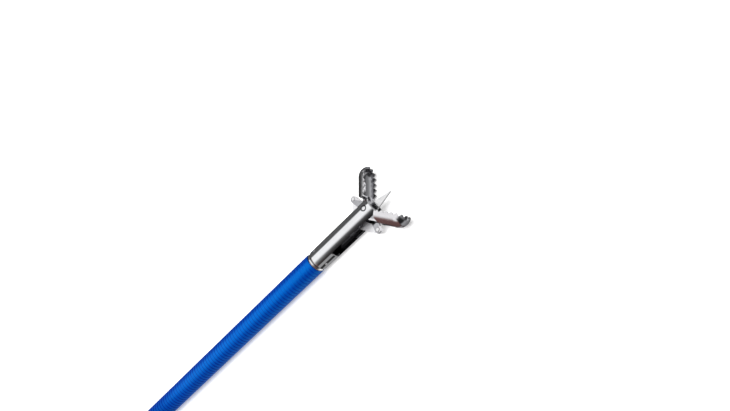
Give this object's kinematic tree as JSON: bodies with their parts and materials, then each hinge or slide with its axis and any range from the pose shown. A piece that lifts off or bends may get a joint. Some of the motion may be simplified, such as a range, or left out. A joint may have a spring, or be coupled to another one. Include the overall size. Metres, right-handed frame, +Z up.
{
  "type": "endoscopic biopsy forceps",
  "caption": "Flexible biopsy forceps with toothed cup jaws and a central spike on a blue sheath, worked by a sliding spool on a thumb ring handle.",
  "frame": {"origin": "centre of the plan outline of handle and head, on the surface that the forceps lies on", "axes": "+X from the handle towards the jaws, +Y to the side of the upper jaw, +Z up along the jaw pivot pin"},
  "size_m": [0.2314, 0.0418, 0.014],
  "materials": {
    "head_steel": "polished",
    "weld_steel": "polished",
    "pin_steel": "polished",
    "blade_steel": "satin",
    "collar_steel": "polished",
    "coil_steel": "satin",
    "jaw_steel": "polished",
    "link_steel": "satin",
    "wire_steel": "satin",
    "sheath_blue": "gloss",
    "band_white": "woven",
    "relief_blue": "satin",
    "nose_plastic": "satin",
    "handle_plastic": "gloss",
    "spool_plastic": "gloss",
    "anchor_brass": "satin"
  },
  "bodies": {
    "shaft": {"distal_housing": "head_steel", "housing_weld_studs": "weld_steel", "pivot_pin": "pin_steel", "spike": "blade_steel", "pivot_washers": "pin_steel", "coil_collar": "collar_steel", "inner_steel_coil": "coil_steel", "sheath_front_run": "sheath_blue", "sheath_coiled": "sheath_blue", "sheath_rear_run": "sheath_blue", "coil_bands": "band_white", "strain_relief": "relief_blue", "nose_cap": "nose_plastic", "sheath_ferrule": "collar_steel", "handle_body": "handle_plastic"},
    "spool": {"spool_upper": "spool_plastic", "spool_lower": "spool_plastic", "spool_screws": "pin_steel", "wire_anchor": "anchor_brass", "anchor_set_screw": "pin_steel", "stiffening_tube": "wire_steel", "wire_proximal_end": "wire_steel"},
    "crosshead": {"crosshead": "link_steel", "pull_wire": "wire_steel"},
    "upper_jaw": {"upper_jaw": "jaw_steel", "upper_elbow_rivet": "pin_steel"},
    "lower_jaw": {"lower_jaw": "jaw_steel", "lower_elbow_rivet": "pin_steel"},
    "upper_link": {"upper_jaw_link": "link_steel"},
    "lower_link": {"lower_jaw_link": "link_steel", "crosshead_pin": "pin_steel"}
  },
  "joints": [
    {"name": "spool_slide", "type": "slide", "parent": "shaft", "child": "spool", "axis": [1, 0, 0], "range_m": [-0.008, 0]},
    {"name": "crosshead_slide", "type": "slide", "parent": "shaft", "child": "crosshead", "axis": [1, 0, 0], "range_m": [-0.00266, 0]},
    {"name": "upper_jaw_hinge", "type": "hinge", "parent": "shaft", "child": "upper_jaw", "pos_m": [0.11258, 0.0137, 0.0012], "axis": [0, 0, 1], "range_deg": [-58, 0]},
    {"name": "lower_jaw_hinge", "type": "hinge", "parent": "shaft", "child": "lower_jaw", "pos_m": [0.11258, 0.0137, 0.0012], "axis": [0, 0, 1], "range_deg": [0, 51]},
    {"name": "upper_elbow", "type": "hinge", "parent": "upper_jaw", "child": "upper_link", "pos_m": [0.11218, 0.01146, 0.0012], "axis": [0, 0, 1], "range_deg": [0, 93.51]},
    {"name": "lower_elbow", "type": "hinge", "parent": "lower_jaw", "child": "lower_link", "pos_m": [0.11191, 0.01587, 0.0012], "axis": [0, 0, 1], "range_deg": [-93.51, 0]}
  ],
  "couplings": [
    {"joint": "crosshead_slide", "follows": "spool_slide", "ratio": 0.33267},
    {"joint": "upper_jaw_hinge", "follows": "spool_slide", "rad_per_m": 126.54},
    {"joint": "lower_jaw_hinge", "follows": "spool_slide", "rad_per_m": -111.26},
    {"joint": "upper_elbow", "follows": "spool_slide", "rad_per_m": -204},
    {"joint": "lower_elbow", "follows": "spool_slide", "rad_per_m": 204}
  ]
}
